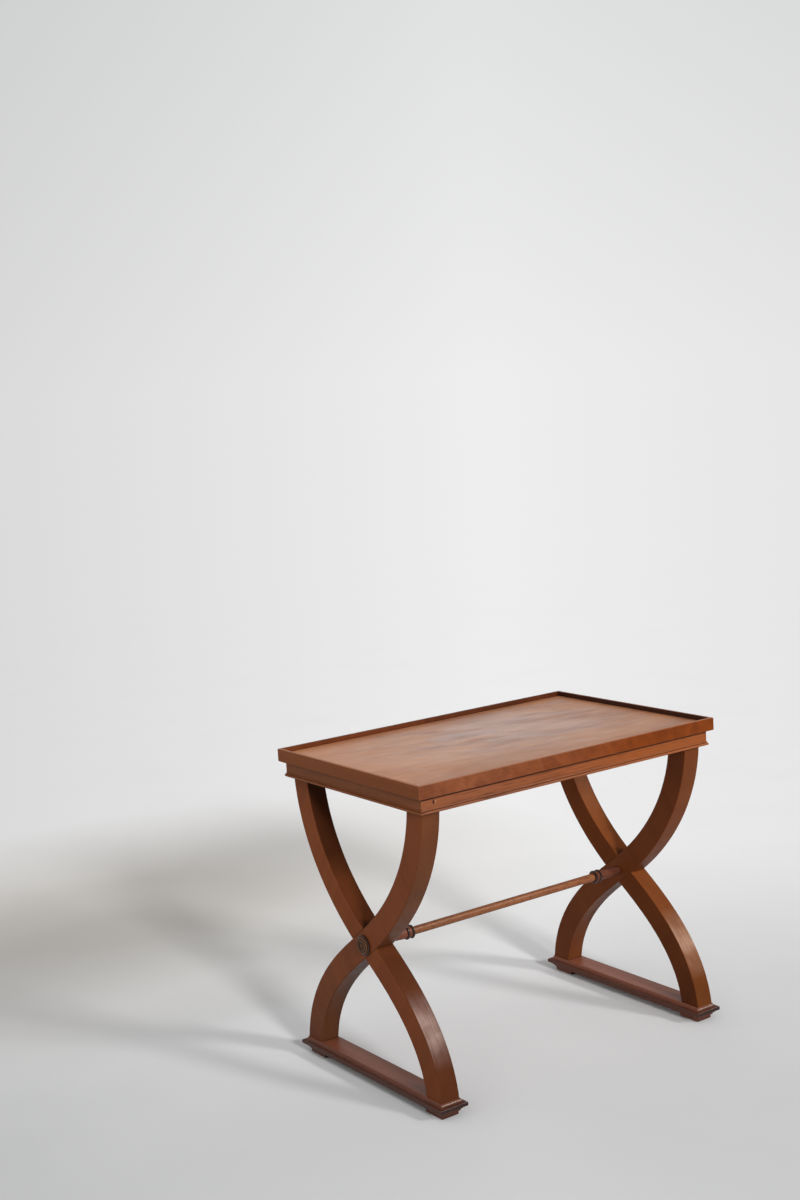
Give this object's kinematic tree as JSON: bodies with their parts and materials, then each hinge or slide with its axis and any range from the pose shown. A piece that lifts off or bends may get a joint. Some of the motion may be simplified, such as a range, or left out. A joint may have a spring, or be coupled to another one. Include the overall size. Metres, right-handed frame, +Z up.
{
  "type": "tray table",
  "caption": "Occasional table with a lift-off lipped tray on a moulded top frame, carried by crossed S-curved legs at each end, moulded foot rails and a turned stretcher.",
  "frame": {"origin": "on the floor, under the middle of the tray", "axes": "+X along the table's length, +Y across it towards the back, +Z up; the ends are called left (-X) and right (+X), the long sides front (-Y) and back (+Y)"},
  "size_m": [0.682, 0.432, 0.58],
  "materials": {
    "tray_board": "satin lacquered reddish-brown veneer, long grain",
    "tray_edging": "satin lacquered red-brown hardwood",
    "apron_wood": "satin lacquered red-brown hardwood",
    "leg_wood": "satin lacquered red-brown hardwood",
    "rail_wood": "satin lacquered dark red-brown hardwood",
    "rod_wood": "satin lacquered orange-brown hardwood",
    "turned_wood": "satin dark-stained turned hardwood with ebonised beads",
    "inner_wood": "plain planed wood",
    "screw_steel": "plain steel"
  },
  "bodies": {
    "stand": {"apron_back": "apron_wood", "apron_front": "apron_wood", "apron_left": "apron_wood", "apron_moulding_back": "apron_wood", "apron_moulding_front": "apron_wood", "apron_moulding_left": "apron_wood", "apron_moulding_right": "apron_wood", "apron_right": "apron_wood", "bearer_left": "inner_wood", "bearer_right": "inner_wood", "bearer_screws": "screw_steel", "foot_pad_left_back": "rail_wood", "foot_pad_left_front": "rail_wood", "foot_pad_right_back": "rail_wood", "foot_pad_right_front": "rail_wood", "foot_pad_screws": "screw_steel", "foot_rail_left": "rail_wood", "foot_rail_right": "rail_wood", "glue_block_back_left": "inner_wood", "glue_block_back_right": "inner_wood", "glue_block_front_left": "inner_wood", "glue_block_front_right": "inner_wood", "leg_left_back_foot": "leg_wood", "leg_left_front_foot": "leg_wood", "leg_right_back_foot": "leg_wood", "leg_right_front_foot": "leg_wood", "rosette_left": "turned_wood", "rosette_right": "turned_wood", "stretcher_rod": "rod_wood", "stretcher_socket_left": "turned_wood", "stretcher_socket_right": "turned_wood"},
    "tray": {"tray_batten_left": "inner_wood", "tray_batten_right": "inner_wood", "tray_batten_screws": "screw_steel", "tray_lip_back": "tray_edging", "tray_lip_front": "tray_edging", "tray_lip_left": "tray_edging", "tray_lip_right": "tray_edging", "tray_panel": "tray_board"}
  },
  "joints": [
    {"name": "tray_lift", "type": "slide", "parent": "stand", "child": "tray", "axis": [0, 0, 1], "range_m": [0, 0.08]}
  ]
}
